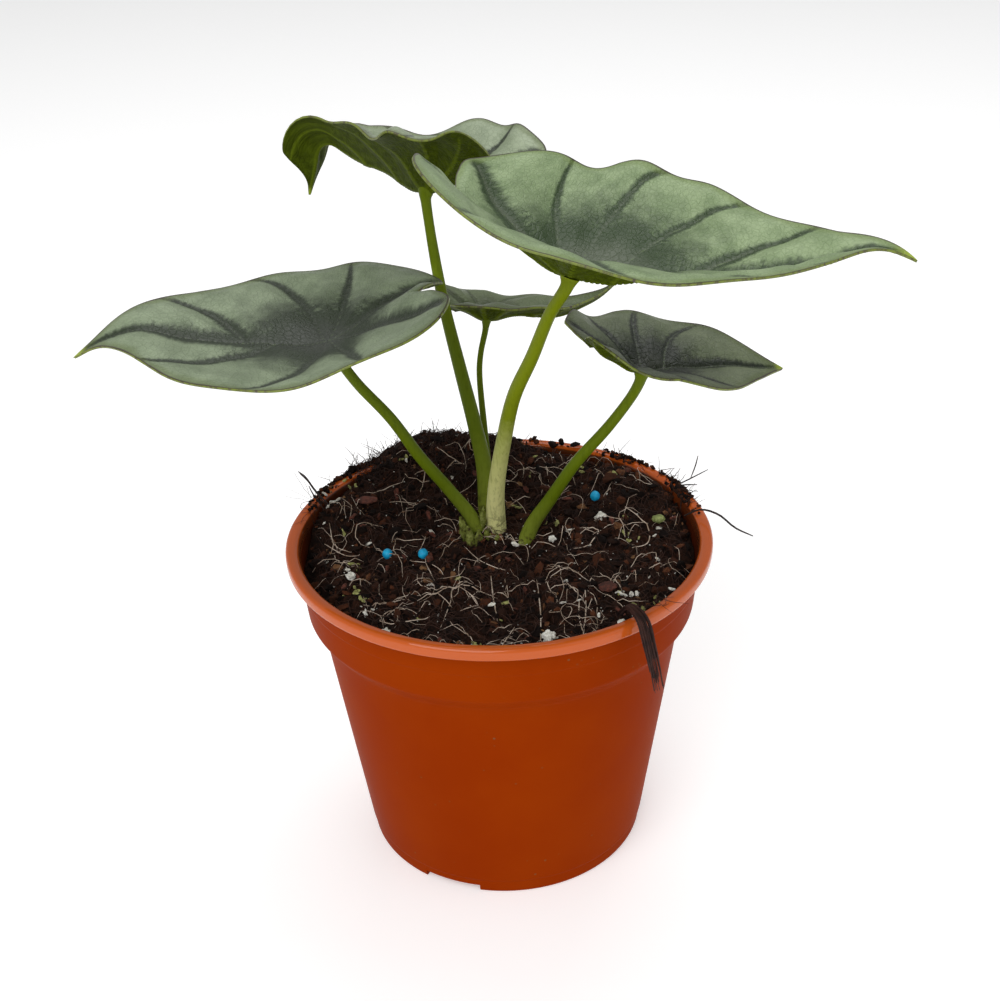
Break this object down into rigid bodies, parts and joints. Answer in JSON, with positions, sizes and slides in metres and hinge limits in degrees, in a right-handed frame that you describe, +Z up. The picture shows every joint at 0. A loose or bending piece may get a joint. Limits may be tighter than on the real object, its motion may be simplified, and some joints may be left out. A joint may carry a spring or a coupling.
{
  "type": "potted alocasia",
  "caption": "Young alocasia with shield-shaped silvery leaves on upright stalks, growing in a round nursery pot of terracotta-coloured plastic.",
  "frame": {"origin": "centre of the flat pad under the pot, on the surface the pot stands on", "axes": "+Z up along the pot's axis, X along the widest spread of the leaves, -Y towards the front leaf"},
  "size_m": [0.2101, 0.134, 0.2137],
  "materials": {
    "pot_plastic": "satin",
    "potting_mix": "matte",
    "corm_skin": "matte",
    "petiole": "satin",
    "blade": "satin",
    "prill": "satin",
    "perlite": "matte",
    "bark": "matte",
    "pod": "matte",
    "root": "matte"
  },
  "bodies": {
    "root": {"pot": "pot_plastic", "potting_mix": "potting_mix", "corm": "corm_skin", "petiole_left": "petiole", "petiole_tall": "petiole", "petiole_front": "petiole", "petiole_back": "petiole", "petiole_right": "petiole", "leaf_blade_left": "blade", "leaf_blade_tall": "blade", "leaf_blade_front": "blade", "leaf_blade_back": "blade", "leaf_blade_right": "blade", "sheath_remnant": "bark", "fertiliser_prill_1": "prill", "fertiliser_prill_2": "prill", "fertiliser_prill_3": "prill", "perlite_grain_1": "perlite", "perlite_grain_2": "perlite", "perlite_grain_3": "perlite", "perlite_grain_4": "perlite", "perlite_grain_5": "perlite", "bark_chip_1": "bark", "bark_chip_2": "bark", "green_pod": "pod", "bark_strip": "bark", "stray_root_left": "root", "stray_root_right": "root"}
  },
  "joints": []
}
